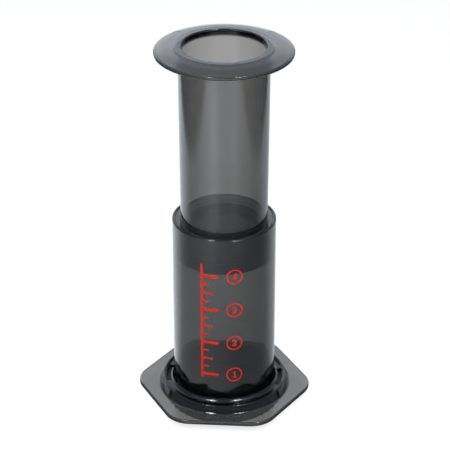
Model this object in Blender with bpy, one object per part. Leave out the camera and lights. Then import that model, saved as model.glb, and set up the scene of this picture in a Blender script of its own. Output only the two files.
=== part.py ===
"""Piston coffee press: a smoky chamber on a six-sided flange, a hollow plunger with a rubber seal,
and a twist-lock filter cap that holds a round paper filter under the chamber.

Lengths are metres and angles degrees. +Z is up. The press stands on its filter cap at the origin,
with two corners of the flange on the X axis, and the plunger is drawn most of the way up.
"""

import math

import bmesh
import bpy
from mathutils import Matrix, Vector

# Fits and cuts
TOUCH_GAP = 0.0003
CUT_OVERRUN = 0.0010
JOIN_OVERLAP = 0.0005
WELD_DISTANCE = 0.000001

# Facets
ROUND_FACETS = 48
HOLE_FACETS = 6
ARC_SAG = 0.00005
SECTOR_TURN = 7.5
SMOOTH_BELOW = 35.0

# Chamber tube, heights from the underside of its flange
BORE_CLEARANCE = 0.0032
CHAMBER_WALL = 0.0020
CHAMBER_HEIGHT = 0.1210
CHAMBER_RIM_ROUNDING = 0.0006
SPIGOT_DROP = 0.0050
SPIGOT_RELIEF = 0.0002

# Chamber flange
FLANGE_SIDES = 6
FLANGE_ACROSS_FLATS = 0.0988
FLANGE_CORNER_RADIUS = 0.0170
FLANGE_THICKNESS = 0.0030
FLANGE_EDGE_ROUNDING = 0.0007
FLANGE_RELIEF_DEPTH = 0.0004
FLANGE_RELIEF_MARGIN = 0.0006

# Chamber collar, heights from the underside of the flange
COLLAR_REACH = 0.0072
COLLAR_WALL = 0.0016
COLLAR_HEIGHT = 0.0080
COLLAR_LIP_WIDTH = 0.0016
COLLAR_LIP_ROUNDING = 0.0005
COLLAR_FOOT_FILLET = 0.0032
MOAT_HEIGHT = 0.0064
MOAT_ROOF = 0.0020
MOAT_TUBE_FILLET = 0.0030

# Twist lock of the chamber and the cap
LOCK_COUNT = 4
LOCK_WINDOW_ANGLE = 39.0
LOCK_WINDOW_INNER_MARGIN = 0.0012
LOCK_WINDOW_OUTER_MARGIN = 0.0005
LOCK_LEDGE_THICKNESS = 0.0020
LOCK_SLOT_STEP = 0.0002
LOCK_STOP_ANGLE = 2.0
LOCK_STOP_MARGIN = 0.5
LOCK_LEDGE_MARGIN = 0.5
LOCK_RUNNING_CLEARANCE = 0.0004
LUG_ANGLE = 36.0
LUG_STOP_MARGIN = 0.4
LUG_THICKNESS = 0.0016

# Plunger, heights from the end of its neck
PLUNGER_HEIGHT = 0.1342
TUBE_END_RADIUS = 0.0268
TUBE_TAPER = 0.00085
TUBE_WALL = 0.0024
MOUTH_ROUNDING = 0.0009
BRIM_WIDTH = 0.0141
BRIM_THICKNESS = 0.0021
BRIM_DISH = 0.0029
BRIM_EDGE_ROUNDING = 0.0009
BRIM_FLAT_WIDTH = 0.0042
BRIM_CROWN_ROUNDING = 0.0060
BRIM_UNDER_FILLET = 0.0020
NECK_LENGTH = 0.0185
NECK_STEP = 0.0022
NECK_WALL = 0.0020
NECK_BLEND = 0.0030
NECK_BEAD_RISE = 0.0012
NECK_BEAD_BASE = 0.0010
NECK_BEAD_LENGTH = 0.0026
NECK_ROUNDING = 0.0004
PLUNGER_FLOOR_HEIGHT = 0.0145
PLUNGER_FLOOR_THICKNESS = 0.0022
PLUNGER_FLOOR_FILLET = 0.0010

# Plunger seal, heights from its crown
SEAL_BORE_CLEARANCE = 0.0003
SEAL_HEIGHT = 0.0217
SEAL_FLOOR_THICKNESS = 0.0032
SEAL_CROWN_INSET = 0.0082
SEAL_CROWN_RISE = 0.0010
SEAL_SHOULDER_WIDTH = 0.0010
SEAL_LIP_BASE = 0.0018
SEAL_LIP_TOP = 0.0036
SEAL_LIP_ROUNDING = 0.0005
SEAL_WAIST_DEPTH = 0.0011
SEAL_WAIST_BASE = 0.0048
SEAL_WAIST_TOP = 0.0066
SEAL_RING_DEPTH = 0.0002
SEAL_RING_BASE = 0.0077
SEAL_RING_TOP = 0.0087
SEAL_SLEEVE_BASE = 0.0108
SEAL_SLEEVE_PROUD = 0.0004
SEAL_SLEEVE_ROUNDING = 0.0006

# Filter cap, heights from the face it stands on
CAP_FOOT_LIFT = 0.0010
CAP_FOOT_WIDTH = 0.0048
CAP_FLOOR_THICKNESS = 0.0023
CAP_RIM_WALL = 0.0019
CAP_GRIP_WALL = 0.0032
CAP_GRIP_ROUNDING = 0.0006
CAP_RIB_COUNT = 40
CAP_RIB_HEIGHT = 0.0008
CAP_RIB_FILL_SHARE = 0.5
CAP_RIB_TIP_SHARE = 0.4
CAP_RIB_BASE = 0.0012
CAP_RIB_TOP_MARGIN = 0.0010
CAP_HOLE_RADIUS = 0.0009
CAP_HOLE_EDGE_MARGIN = 0.0048
CAP_HOLE_RINGS = 5
CAP_HOLE_RING_STEP = 6

# Paper filter
PAPER_EDGE_CLEARANCE = 0.0003
PAPER_THICKNESS = 0.00025

# Rest pose: depth of the seal's crown below the chamber's rim
SEAL_REST_DEPTH = 0.0247

# Sizes that follow from the ones above
BORE_RADIUS = TUBE_END_RADIUS + BORE_CLEARANCE
CHAMBER_RADIUS = BORE_RADIUS + CHAMBER_WALL
COLLAR_RADIUS = CHAMBER_RADIUS + COLLAR_REACH
TUBE_TOP_RADIUS = TUBE_END_RADIUS + TUBE_TAPER
BRIM_RADIUS = TUBE_TOP_RADIUS + BRIM_WIDTH
NECK_RADIUS = TUBE_END_RADIUS - NECK_STEP
CAP_FLOOR_TOP = CAP_FOOT_LIFT + CAP_FLOOR_THICKNESS
PAPER_BASE = CAP_FLOOR_TOP + TOUCH_GAP
PAPER_TOP = PAPER_BASE + PAPER_THICKNESS
CHAMBER_END = PAPER_TOP + TOUCH_GAP
FLANGE_BASE = CHAMBER_END + SPIGOT_DROP
SEAL_BASE = FLANGE_BASE + CHAMBER_HEIGHT - SEAL_REST_DEPTH
NECK_END = SEAL_FLOOR_THICKNESS + TOUCH_GAP
LOCK_PITCH = 360.0 / LOCK_COUNT
CAVITY_ROOF = MOAT_HEIGHT - MOAT_ROOF
CAVITY_RADIUS = COLLAR_RADIUS - COLLAR_WALL
CAP_INNER_RADIUS = CHAMBER_RADIUS + TOUCH_GAP
CAP_HOLE_PITCH = (CAP_INNER_RADIUS - CAP_HOLE_EDGE_MARGIN) / CAP_HOLE_RINGS
PAPER_RADIUS = CAP_INNER_RADIUS - PAPER_EDGE_CLEARANCE
CAP_RIM_RADIUS = CAP_INNER_RADIUS + CAP_RIM_WALL
CAP_GRIP_RADIUS = CAP_INNER_RADIUS + CAP_GRIP_WALL
LEDGE_RADIUS = CAP_RIM_RADIUS + LOCK_RUNNING_CLEARANCE
WINDOW_HALF_ANGLE = LOCK_WINDOW_ANGLE / 2
STOP_START_ANGLE = WINDOW_HALF_ANGLE + LOCK_STOP_MARGIN
STOP_END_ANGLE = STOP_START_ANGLE + LOCK_STOP_ANGLE
LEDGE_END_ANGLE = STOP_END_ANGLE + LOCK_LEDGE_MARGIN
LUG_END_ANGLE = STOP_START_ANGLE - LUG_STOP_MARGIN


# Outlines

def rounded_outline(corners):
    """The corners (across, up, rounding) as a path, each corner turned by an arc of its rounding."""
    points = []
    count = len(corners)
    for index, (across, up, rounding) in enumerate(corners):
        corner = Vector((across, up))
        if not rounding:
            points.append(corner)
            continue
        before = Vector(corners[index - 1][:2]) - corner
        after = Vector(corners[(index + 1) % count][:2]) - corner
        before.normalize()
        after.normalize()
        half_angle = before.angle(after) / 2
        centre = corner + (before + after).normalized() * (rounding / math.sin(half_angle))
        start = corner + before * (rounding / math.tan(half_angle)) - centre
        turn = start.angle_signed(corner + after * (rounding / math.tan(half_angle)) - centre)
        sag_share = min(1, ARC_SAG / rounding)
        steps = max(1, math.ceil(abs(turn) / (2 * math.acos(1 - sag_share))))
        for step in range(steps + 1):
            points.append(centre + Matrix.Rotation(-turn * step / steps, 2) @ start)
    return points


def sharp(across, up):
    """A corner that stays sharp."""
    return (across, up, 0)


# Meshes

def mesh_of(name, bm):
    """The bmesh as a mesh whose faces point outwards."""
    bmesh.ops.remove_doubles(bm, verts=bm.verts, dist=WELD_DISTANCE)
    bmesh.ops.recalc_face_normals(bm, faces=bm.faces)
    mesh = bpy.data.meshes.new(name)
    bm.to_mesh(mesh)
    bm.free()
    return mesh


def revolved(name, outline, closed):
    """The outline (across, up) turned about Z. An open outline starts and ends on the axis."""
    bm = bmesh.new()
    verts = [bm.verts.new((point.x, 0, point.y)) for point in outline]
    edges = [bm.edges.new(pair) for pair in zip(verts, verts[1:])]
    if closed:
        edges.append(bm.edges.new((verts[-1], verts[0])))
    bmesh.ops.spin(bm, geom=verts + edges, cent=(0, 0, 0), axis=(0, 0, 1),
                   angle=math.tau, steps=ROUND_FACETS, use_merge=True)
    return mesh_of(name, bm)


def add_prism(bm, outline, base, top):
    """Adds the outline (x, y) to the bmesh as an upright solid from base to top."""
    face = bm.faces.new([bm.verts.new((point.x, point.y, base)) for point in outline])
    grown = bmesh.ops.extrude_face_region(bm, geom=[face], use_keep_orig=True)
    raised = [item for item in grown["geom"] if isinstance(item, bmesh.types.BMVert)]
    bmesh.ops.translate(bm, verts=raised, vec=(0, 0, top - base))
    return raised


def sector_outline(inner, outer, start, end):
    """A slice of a ring between two radii and two angles."""
    steps = max(1, math.ceil((end - start) / SECTOR_TURN))
    angles = [math.radians(start + (end - start) * step / steps) for step in range(steps + 1)]
    far = [Vector((outer * math.cos(angle), outer * math.sin(angle))) for angle in angles]
    near = [Vector((inner * math.cos(angle), inner * math.sin(angle))) for angle in angles]
    return far + near[::-1]


def sectors(name, inner, outer, base, top, start, end):
    """One solid slice of a ring for each lock of the chamber."""
    bm = bmesh.new()
    for index in range(LOCK_COUNT):
        turn = index * LOCK_PITCH
        add_prism(bm, sector_outline(inner, outer, start + turn, end + turn), base, top)
    return mesh_of(name, bm)


# Objects

def material(name, colour, roughness, transmission=0.0):
    """A Principled material of one colour."""
    made = bpy.data.materials.new(name)
    made.use_nodes = True
    shader = made.node_tree.nodes["Principled BSDF"]
    shader.inputs["Base Color"].default_value = (*colour, 1.0)
    shader.inputs["Roughness"].default_value = roughness
    shader.inputs["Metallic"].default_value = 0.0
    shader.inputs["Transmission Weight"].default_value = transmission
    made.diffuse_color = (*colour, 1.0)
    return made


def placed(name, mesh, finish, parent, height):
    """A named sub-part on the press's axis, at a height above its parent's origin."""
    obj = bpy.data.objects.new(name, mesh)
    obj.data.materials.append(finish)
    obj.location = (0, 0, height)
    obj.parent = parent
    bpy.context.scene.collection.objects.link(obj)
    return obj


def carve(target, operation, mesh):
    """Joins the mesh to the target or cuts it away, by a Boolean with a hidden helper."""
    helper = bpy.data.objects.new(mesh.name, mesh)
    helper.parent = target
    helper.hide_render = True
    helper.display_type = "WIRE"
    bpy.context.scene.collection.objects.link(helper)
    modifier = target.modifiers.new(mesh.name, "BOOLEAN")
    modifier.operation = operation
    modifier.solver = "EXACT"
    modifier.object = helper


def shade_round(obj):
    """Smooth shading that keeps the true edges."""
    obj.data.shade_smooth()
    obj.data.set_sharp_from_angle(angle=math.radians(SMOOTH_BELOW))


# Chamber

def chamber_mesh():
    """Tube, collar and moat in one closed outline, heights from the underside of the flange."""
    join_height = FLANGE_THICKNESS / 2
    foot_height = FLANGE_THICKNESS - JOIN_OVERLAP / 2
    foot_radius = COLLAR_RADIUS + COLLAR_FOOT_FILLET + JOIN_OVERLAP
    lip_radius = COLLAR_RADIUS - COLLAR_LIP_WIDTH
    spigot_radius = CHAMBER_RADIUS - SPIGOT_RELIEF
    corners = [
        sharp(BORE_RADIUS, -SPIGOT_DROP),
        (BORE_RADIUS, CHAMBER_HEIGHT, CHAMBER_RIM_ROUNDING),
        (CHAMBER_RADIUS, CHAMBER_HEIGHT, CHAMBER_RIM_ROUNDING),
        (CHAMBER_RADIUS, MOAT_HEIGHT, MOAT_TUBE_FILLET),
        sharp(lip_radius, MOAT_HEIGHT),
        (lip_radius, COLLAR_HEIGHT, COLLAR_LIP_ROUNDING),
        (COLLAR_RADIUS, COLLAR_HEIGHT, COLLAR_LIP_ROUNDING),
        (COLLAR_RADIUS, foot_height, COLLAR_FOOT_FILLET),
        sharp(foot_radius, foot_height),
        sharp(foot_radius, join_height),
        sharp(spigot_radius, join_height),
        sharp(spigot_radius, -SPIGOT_DROP),
    ]
    return revolved("chamber", rounded_outline(corners), True)


def flange_mesh():
    """The six-sided plate with rounded corners and edges and a hole inside the tube's wall."""
    corner_distance = FLANGE_ACROSS_FLATS / 2 / math.cos(math.pi / FLANGE_SIDES)
    angles = [math.tau * side / FLANGE_SIDES for side in range(FLANGE_SIDES)]
    corners = [(corner_distance * math.cos(angle), corner_distance * math.sin(angle),
                FLANGE_CORNER_RADIUS) for angle in angles]
    bm = bmesh.new()
    add_prism(bm, rounded_outline(corners), 0, FLANGE_THICKNESS)
    rims = [edge for edge in bm.edges if edge.verts[0].co.z == edge.verts[1].co.z]
    bmesh.ops.bevel(bm, geom=rims, offset=FLANGE_EDGE_ROUNDING, offset_type="OFFSET", segments=2,
                    profile=0.5, affect="EDGES")
    return mesh_of("flange_plate", bm)


def tube_passage_mesh():
    """Clears the plate inside the chamber's wall."""
    radius = BORE_RADIUS + CHAMBER_WALL / 2
    corners = [
        sharp(0, -CUT_OVERRUN),
        sharp(radius, -CUT_OVERRUN),
        sharp(radius, FLANGE_THICKNESS + CUT_OVERRUN),
        sharp(0, FLANGE_THICKNESS + CUT_OVERRUN),
    ]
    return revolved("tube_passage", rounded_outline(corners), False)


def lock_cavity_mesh():
    """The ring-shaped space that takes the cap's rim and, above the ledges, its lugs."""
    relief_radius = CAP_GRIP_RADIUS + CAP_RIB_HEIGHT + FLANGE_RELIEF_MARGIN
    corners = [
        sharp(CHAMBER_RADIUS, -CUT_OVERRUN),
        sharp(relief_radius, -CUT_OVERRUN),
        sharp(relief_radius, FLANGE_RELIEF_DEPTH),
        sharp(LEDGE_RADIUS, FLANGE_RELIEF_DEPTH),
        sharp(LEDGE_RADIUS, LOCK_LEDGE_THICKNESS),
        sharp(CAVITY_RADIUS, LOCK_LEDGE_THICKNESS),
        sharp(CAVITY_RADIUS, CAVITY_ROOF),
        sharp(CHAMBER_RADIUS, CAVITY_ROOF),
    ]
    return revolved("lock_cavity", rounded_outline(corners), True)


def lock_slots_mesh():
    """The openings between the ledges, where the cap's lugs enter from below."""
    inner = LEDGE_RADIUS - JOIN_OVERLAP
    outer = CAVITY_RADIUS - LOCK_SLOT_STEP
    top = (LOCK_LEDGE_THICKNESS + CAVITY_ROOF) / 2
    return sectors("lock_slots", inner, outer, -CUT_OVERRUN, top,
                   LEDGE_END_ANGLE, LOCK_PITCH - WINDOW_HALF_ANGLE - LOCK_LEDGE_MARGIN)


def lock_windows_mesh():
    """The windows in the moat's floor above the ledges."""
    inner = CHAMBER_RADIUS + LOCK_WINDOW_INNER_MARGIN
    outer = CAVITY_RADIUS - LOCK_WINDOW_OUTER_MARGIN
    return sectors("lock_windows", inner, outer, CAVITY_ROOF - JOIN_OVERLAP,
                   COLLAR_HEIGHT + CUT_OVERRUN, -WINDOW_HALF_ANGLE, WINDOW_HALF_ANGLE)


def lock_stops_mesh():
    """The blocks at the ledges' ends that the lugs turn against."""
    base = LOCK_LEDGE_THICKNESS / 2
    top = MOAT_HEIGHT - MOAT_ROOF / 2
    inner = LEDGE_RADIUS + JOIN_OVERLAP
    outer = COLLAR_RADIUS - COLLAR_WALL / 2
    return sectors("lock_stops", inner, outer, base, top, STOP_START_ANGLE, STOP_END_ANGLE)


def make_chamber(finish):
    """Flange plate first, then the tube and collar joined on, and the lock cut into the collar."""
    chamber = placed("chamber", flange_mesh(), finish, None, FLANGE_BASE)
    carve(chamber, "DIFFERENCE", tube_passage_mesh())
    carve(chamber, "UNION", chamber_mesh())
    carve(chamber, "DIFFERENCE", lock_cavity_mesh())
    carve(chamber, "DIFFERENCE", lock_slots_mesh())
    carve(chamber, "UNION", lock_stops_mesh())
    carve(chamber, "DIFFERENCE", lock_windows_mesh())
    return chamber


# Plunger

def plunger_mesh():
    """Floor, tube, dished brim and neck in one outline, heights from the end of the neck."""
    neck_inner = NECK_RADIUS - NECK_WALL
    tube_inner_end = TUBE_END_RADIUS - TUBE_WALL
    mouth_radius = TUBE_TOP_RADIUS - TUBE_WALL
    bead_radius = NECK_RADIUS + NECK_BEAD_RISE
    bead_top = NECK_BEAD_BASE + NECK_BEAD_LENGTH
    brim_top = PLUNGER_HEIGHT - BRIM_DISH
    brim_under_tube = PLUNGER_HEIGHT - BRIM_THICKNESS
    floor_under = PLUNGER_FLOOR_HEIGHT - PLUNGER_FLOOR_THICKNESS
    corners = [
        sharp(0, PLUNGER_FLOOR_HEIGHT),
        (neck_inner, PLUNGER_FLOOR_HEIGHT, PLUNGER_FLOOR_FILLET),
        sharp(neck_inner, NECK_LENGTH),
        sharp(tube_inner_end, NECK_LENGTH + NECK_BLEND),
        (mouth_radius, PLUNGER_HEIGHT, MOUTH_ROUNDING),
        (mouth_radius + BRIM_FLAT_WIDTH, PLUNGER_HEIGHT, BRIM_CROWN_ROUNDING),
        (BRIM_RADIUS, brim_top, BRIM_EDGE_ROUNDING),
        (BRIM_RADIUS, brim_top - BRIM_THICKNESS, BRIM_EDGE_ROUNDING),
        (TUBE_TOP_RADIUS, brim_under_tube, BRIM_UNDER_FILLET),
        (TUBE_END_RADIUS, NECK_LENGTH, NECK_ROUNDING),
        sharp(NECK_RADIUS, NECK_LENGTH),
        sharp(NECK_RADIUS, bead_top),
        (bead_radius, bead_top - NECK_BEAD_RISE, NECK_ROUNDING),
        (bead_radius, NECK_BEAD_BASE, NECK_ROUNDING),
        sharp(NECK_RADIUS, 0),
        sharp(neck_inner, 0),
        (neck_inner, floor_under, PLUNGER_FLOOR_FILLET),
        sharp(0, floor_under),
    ]
    return revolved("plunger", rounded_outline(corners), False)


# Plunger seal

def seal_mesh():
    """Crown, two sealing lips and sleeve, hollowed to grip the neck and its bead."""
    lip_radius = BORE_RADIUS - SEAL_BORE_CLEARANCE
    ring_radius = lip_radius - SEAL_RING_DEPTH
    waist_radius = lip_radius - SEAL_WAIST_DEPTH
    sleeve_radius = TUBE_END_RADIUS + SEAL_SLEEVE_PROUD
    grip_radius = NECK_RADIUS + TOUCH_GAP
    groove_radius = grip_radius + NECK_BEAD_RISE
    groove_top = NECK_END + NECK_BEAD_BASE + NECK_BEAD_LENGTH + TOUCH_GAP
    corners = [
        sharp(0, 0),
        sharp(lip_radius - SEAL_CROWN_INSET, 0),
        sharp(lip_radius - SEAL_SHOULDER_WIDTH, SEAL_CROWN_RISE),
        (lip_radius, SEAL_LIP_BASE, SEAL_LIP_ROUNDING),
        (lip_radius, SEAL_LIP_TOP, SEAL_LIP_ROUNDING),
        sharp(waist_radius, SEAL_WAIST_BASE),
        sharp(waist_radius, SEAL_WAIST_TOP),
        sharp(ring_radius, SEAL_RING_BASE),
        sharp(ring_radius, SEAL_RING_TOP),
        sharp(sleeve_radius, SEAL_SLEEVE_BASE),
        (sleeve_radius, SEAL_HEIGHT, SEAL_SLEEVE_ROUNDING),
        sharp(grip_radius, SEAL_HEIGHT),
        sharp(grip_radius, groove_top),
        sharp(groove_radius, groove_top - NECK_BEAD_RISE),
        sharp(groove_radius, SEAL_FLOOR_THICKNESS),
        sharp(0, SEAL_FLOOR_THICKNESS),
    ]
    return revolved("plunger_seal", rounded_outline(corners), False)


# Filter cap

def cap_mesh():
    """Floor, foot ring, grip wall and rim in one outline, heights from the face it stands on."""
    grip_top = FLANGE_BASE - TOUCH_GAP
    rim_top = FLANGE_BASE + CAVITY_ROOF - TOUCH_GAP
    foot_inner = CAP_GRIP_RADIUS - CAP_FOOT_WIDTH
    corners = [
        sharp(0, CAP_FOOT_LIFT),
        sharp(foot_inner - CAP_FOOT_LIFT, CAP_FOOT_LIFT),
        sharp(foot_inner, 0),
        (CAP_GRIP_RADIUS, 0, CAP_GRIP_ROUNDING),
        (CAP_GRIP_RADIUS, grip_top, CAP_GRIP_ROUNDING),
        sharp(CAP_RIM_RADIUS, grip_top),
        sharp(CAP_RIM_RADIUS, rim_top),
        sharp(CAP_INNER_RADIUS, rim_top),
        sharp(CAP_INNER_RADIUS, CAP_FLOOR_TOP),
        sharp(0, CAP_FLOOR_TOP),
    ]
    return revolved("filter_cap", rounded_outline(corners), False)


def cap_lugs_mesh():
    """The four lugs that turn in over the chamber's ledges."""
    base = FLANGE_BASE + LOCK_LEDGE_THICKNESS + TOUCH_GAP
    return sectors("cap_lugs", CAP_RIM_RADIUS - JOIN_OVERLAP, CAVITY_RADIUS - LOCK_RUNNING_CLEARANCE,
                   base, base + LUG_THICKNESS, LUG_END_ANGLE - LUG_ANGLE, LUG_END_ANGLE)


def cap_ribs_mesh():
    """Upright grip ribs, each with a tip narrower than its root."""
    root = CAP_GRIP_RADIUS - JOIN_OVERLAP
    tip = CAP_GRIP_RADIUS + CAP_RIB_HEIGHT
    half_root = math.pi / CAP_RIB_COUNT * CAP_RIB_FILL_SHARE
    half_tip = half_root * CAP_RIB_TIP_SHARE
    top = FLANGE_BASE - TOUCH_GAP - CAP_RIB_TOP_MARGIN
    bm = bmesh.new()
    for index in range(CAP_RIB_COUNT):
        middle = math.tau * index / CAP_RIB_COUNT
        spots = [(root, -half_root), (tip, -half_tip), (tip, half_tip), (root, half_root)]
        outline = [Vector((radius * math.cos(middle + turn), radius * math.sin(middle + turn)))
                   for radius, turn in spots]
        add_prism(bm, outline, CAP_RIB_BASE, top)
    return mesh_of("cap_ribs", bm)


def cap_holes_mesh():
    """Holes on rings about a centre hole, each ring with the same number more than the last."""
    spots = [Vector((0, 0))]
    for ring in range(1, CAP_HOLE_RINGS + 1):
        count = CAP_HOLE_RING_STEP * ring
        for index in range(count):
            angle = math.tau * index / count
            spots.append(Vector((math.cos(angle), math.sin(angle))) * ring * CAP_HOLE_PITCH)
    bm = bmesh.new()
    for spot in spots:
        corners = [math.tau * corner / HOLE_FACETS for corner in range(HOLE_FACETS)]
        outline = [spot + Vector((math.cos(angle), math.sin(angle))) * CAP_HOLE_RADIUS
                   for angle in corners]
        add_prism(bm, outline, -CUT_OVERRUN, CAP_FLOOR_TOP + CUT_OVERRUN)
    return mesh_of("cap_holes", bm)


def make_filter_cap(finish, chamber):
    """The cap body with its lugs, grip ribs and holes."""
    cap = placed("filter_cap", cap_mesh(), finish, chamber, -FLANGE_BASE)
    carve(cap, "UNION", cap_lugs_mesh())
    carve(cap, "UNION", cap_ribs_mesh())
    carve(cap, "DIFFERENCE", cap_holes_mesh())
    return cap


# Paper filter

def paper_mesh():
    """A thin round disc, heights from its own underside."""
    corners = [
        sharp(0, 0),
        sharp(PAPER_RADIUS, 0),
        sharp(PAPER_RADIUS, PAPER_THICKNESS),
        sharp(0, PAPER_THICKNESS),
    ]
    return revolved("paper_filter", rounded_outline(corners), False)


# The whole press

def main():
    """Clears the scene and builds the press at its rest pose."""
    for obj in list(bpy.data.objects):
        bpy.data.objects.remove(obj)
    smoke = material("smoky_plastic", (0.06, 0.06, 0.062), 0.08, 0.75)
    clear_smoke = material("smoky_plunger_plastic", (0.10, 0.10, 0.10), 0.08, 0.85)
    rubber = material("black_rubber", (0.012, 0.012, 0.013), 0.45)
    black = material("black_plastic", (0.010, 0.010, 0.010), 0.30)
    paper = material("filter_paper", (0.80, 0.78, 0.72), 0.90)
    chamber = make_chamber(smoke)
    seal = placed("plunger_seal", seal_mesh(), rubber, chamber, SEAL_BASE - FLANGE_BASE)
    plunger = placed("plunger", plunger_mesh(), clear_smoke, seal, NECK_END)
    cap = make_filter_cap(black, chamber)
    filter_disc = placed("paper_filter", paper_mesh(), paper, cap, PAPER_BASE)
    for obj in (chamber, seal, plunger, cap, filter_disc):
        shade_round(obj)


main()
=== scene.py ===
"""Looks of the piston coffee press: smooth shells, printed marks, smoky plastic, rubber and paper.

Lengths are metres and angles degrees. +Z is up, the press stands at the origin and its front faces -Y.
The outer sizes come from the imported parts, so each piece fills the space of the part that it stands for.
"""

import math

import bmesh
import bpy
from mathutils import Matrix, Vector


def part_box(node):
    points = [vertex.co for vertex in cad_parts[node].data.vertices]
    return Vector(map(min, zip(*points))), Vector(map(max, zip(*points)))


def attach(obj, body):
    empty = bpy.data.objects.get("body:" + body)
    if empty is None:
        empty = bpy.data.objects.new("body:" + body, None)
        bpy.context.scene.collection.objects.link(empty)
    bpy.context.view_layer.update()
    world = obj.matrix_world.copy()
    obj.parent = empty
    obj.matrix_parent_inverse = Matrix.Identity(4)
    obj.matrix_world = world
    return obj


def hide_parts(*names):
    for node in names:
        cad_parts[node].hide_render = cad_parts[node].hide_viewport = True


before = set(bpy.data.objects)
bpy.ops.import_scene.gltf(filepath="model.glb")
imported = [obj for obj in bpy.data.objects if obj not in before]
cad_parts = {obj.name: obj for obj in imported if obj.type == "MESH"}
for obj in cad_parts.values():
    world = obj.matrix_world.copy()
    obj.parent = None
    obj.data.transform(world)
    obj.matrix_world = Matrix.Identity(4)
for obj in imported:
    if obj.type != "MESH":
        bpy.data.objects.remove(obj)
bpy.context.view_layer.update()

# Fineness
ROUND_STEPS = 192
HOLE_STEPS = 20
ARC_SAG = 0.000006
SECTOR_TURN = 1.875
SMOOTH_BELOW = 32.0
WELD_DISTANCE = 0.000001
CUT_OVERRUN = 0.0010
JOIN_OVERLAP = 0.0005

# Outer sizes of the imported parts
CHAMBER_LOW, CHAMBER_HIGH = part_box("chamber")
PLUNGER_LOW, PLUNGER_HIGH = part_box("plunger")
SEAL_LOW, SEAL_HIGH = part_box("plunger_seal")
CAP_LOW, CAP_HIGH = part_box("filter_cap")
PAPER_LOW, PAPER_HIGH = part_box("paper_filter")

# Chamber tube
BORE_RADIUS = 0.0300
CHAMBER_WALL = 0.0020
CHAMBER_RIM_ROUNDING = 0.0009
SPIGOT_DROP = 0.0050
SPIGOT_RELIEF = 0.0002
SPIGOT_ROUNDING = 0.0004

# Chamber flange
FLANGE_SIDES = 6
FLANGE_THICKNESS = 0.0030
FLANGE_EDGE_ROUNDING = 0.0008
FLANGE_EDGE_STEPS = 4
FLANGE_RELIEF_DEPTH = 0.0004
FLANGE_RELIEF_MARGIN = 0.0006

# Chamber collar, heights from the underside of the flange
COLLAR_RADIUS = 0.0392
COLLAR_WALL = 0.0016
COLLAR_HEIGHT = 0.0080
COLLAR_LIP_WIDTH = 0.0016
COLLAR_LIP_ROUNDING = 0.0007
COLLAR_SPREAD = 0.0023
COLLAR_FOOT_ROUNDING = 0.0014
COLLAR_FOOT_WIDTH = 0.0034
COLLAR_FOOT_STEP = 0.00002
MOAT_HEIGHT = 0.0064
MOAT_ROOF = 0.0020
MOAT_TUBE_FILLET = 0.0030
MOAT_LIP_FILLET = 0.0004

# Twist lock
LOCK_COUNT = 4
LOCK_WINDOW_ANGLE = 39.0
LOCK_WINDOW_INNER_MARGIN = 0.0022
LOCK_WINDOW_OUTER_MARGIN = 0.0003
LOCK_WINDOW_TRIM = 4.0
LOCK_LEDGE_THICKNESS = 0.0020
LOCK_SLOT_STEP = 0.0002
LOCK_STOP_ANGLE = 2.0
LOCK_STOP_MARGIN = 0.5
LOCK_LEDGE_MARGIN = 0.5
LOCK_RUNNING_CLEARANCE = 0.0004
LUG_ANGLE = 36.0
LUG_STOP_MARGIN = 0.4
LUG_THICKNESS = 0.0016
LUG_LIFT = 0.0003
EDGE_SOFTNESS = 0.00025
EDGE_STEPS = 2
EDGE_ANGLE = 50.0

# Plunger
TUBE_TOP_RADIUS = 0.02765
TUBE_END_RADIUS = 0.0268
TUBE_WALL = 0.0024
MOUTH_ROUNDING = 0.0012
BRIM_THICKNESS = 0.0021
BRIM_DISH = 0.0029
BRIM_EDGE_ROUNDING = 0.0010
BRIM_FLAT_WIDTH = 0.0042
BRIM_CROWN_ROUNDING = 0.0060
BRIM_BEND_RADIUS = 0.0355
BRIM_BEND_DROP = 0.0010
BRIM_BEND_ROUNDING = 0.0200
BRIM_BELLY_RADIUS = 0.0388
BRIM_BELLY_DEPTH = 0.0010
BRIM_BELLY_ROUNDING = 0.0040
BRIM_ROOT_DEPTH = 0.0012
BRIM_UNDER_FILLET = 0.0022
NECK_LENGTH = 0.0185
NECK_RADIUS = 0.0246
NECK_WALL = 0.0020
NECK_BLEND = 0.0030
NECK_BEAD_RISE = 0.0012
NECK_BEAD_BASE = 0.0010
NECK_BEAD_LENGTH = 0.0026
NECK_ROUNDING = 0.0004
PLUNGER_FLOOR_HEIGHT = 0.0145
PLUNGER_FLOOR_THICKNESS = 0.0022
PLUNGER_FLOOR_FILLET = 0.0010
GATE_RADIUS = 0.0016
GATE_HEIGHT = 0.0003

# Plunger seal, heights from its crown
SEAL_FLOOR_THICKNESS = 0.0032
SEAL_CROWN_RADIUS = 0.0215
SEAL_CROWN_RISE = 0.0003
SEAL_SHOULDER_WIDTH = 0.0005
SEAL_LIP_BASE = 0.0009
SEAL_LIP_TOP = 0.0036
SEAL_LIP_ROUNDING = 0.0005
SEAL_WAIST_DEPTH = 0.0011
SEAL_WAIST_BASE = 0.0048
SEAL_WAIST_TOP = 0.0066
SEAL_WAIST_ROUNDING = 0.0004
SEAL_RING_DEPTH = 0.0002
SEAL_RING_BASE = 0.0077
SEAL_RING_TOP = 0.0087
SEAL_RING_ROUNDING = 0.0003
SEAL_SLEEVE_BASE = 0.0108
SEAL_SLEEVE_PROUD = 0.0004
SEAL_SLEEVE_ROUNDING = 0.0006
SEAL_GRIP_CLEARANCE = 0.0003

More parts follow.
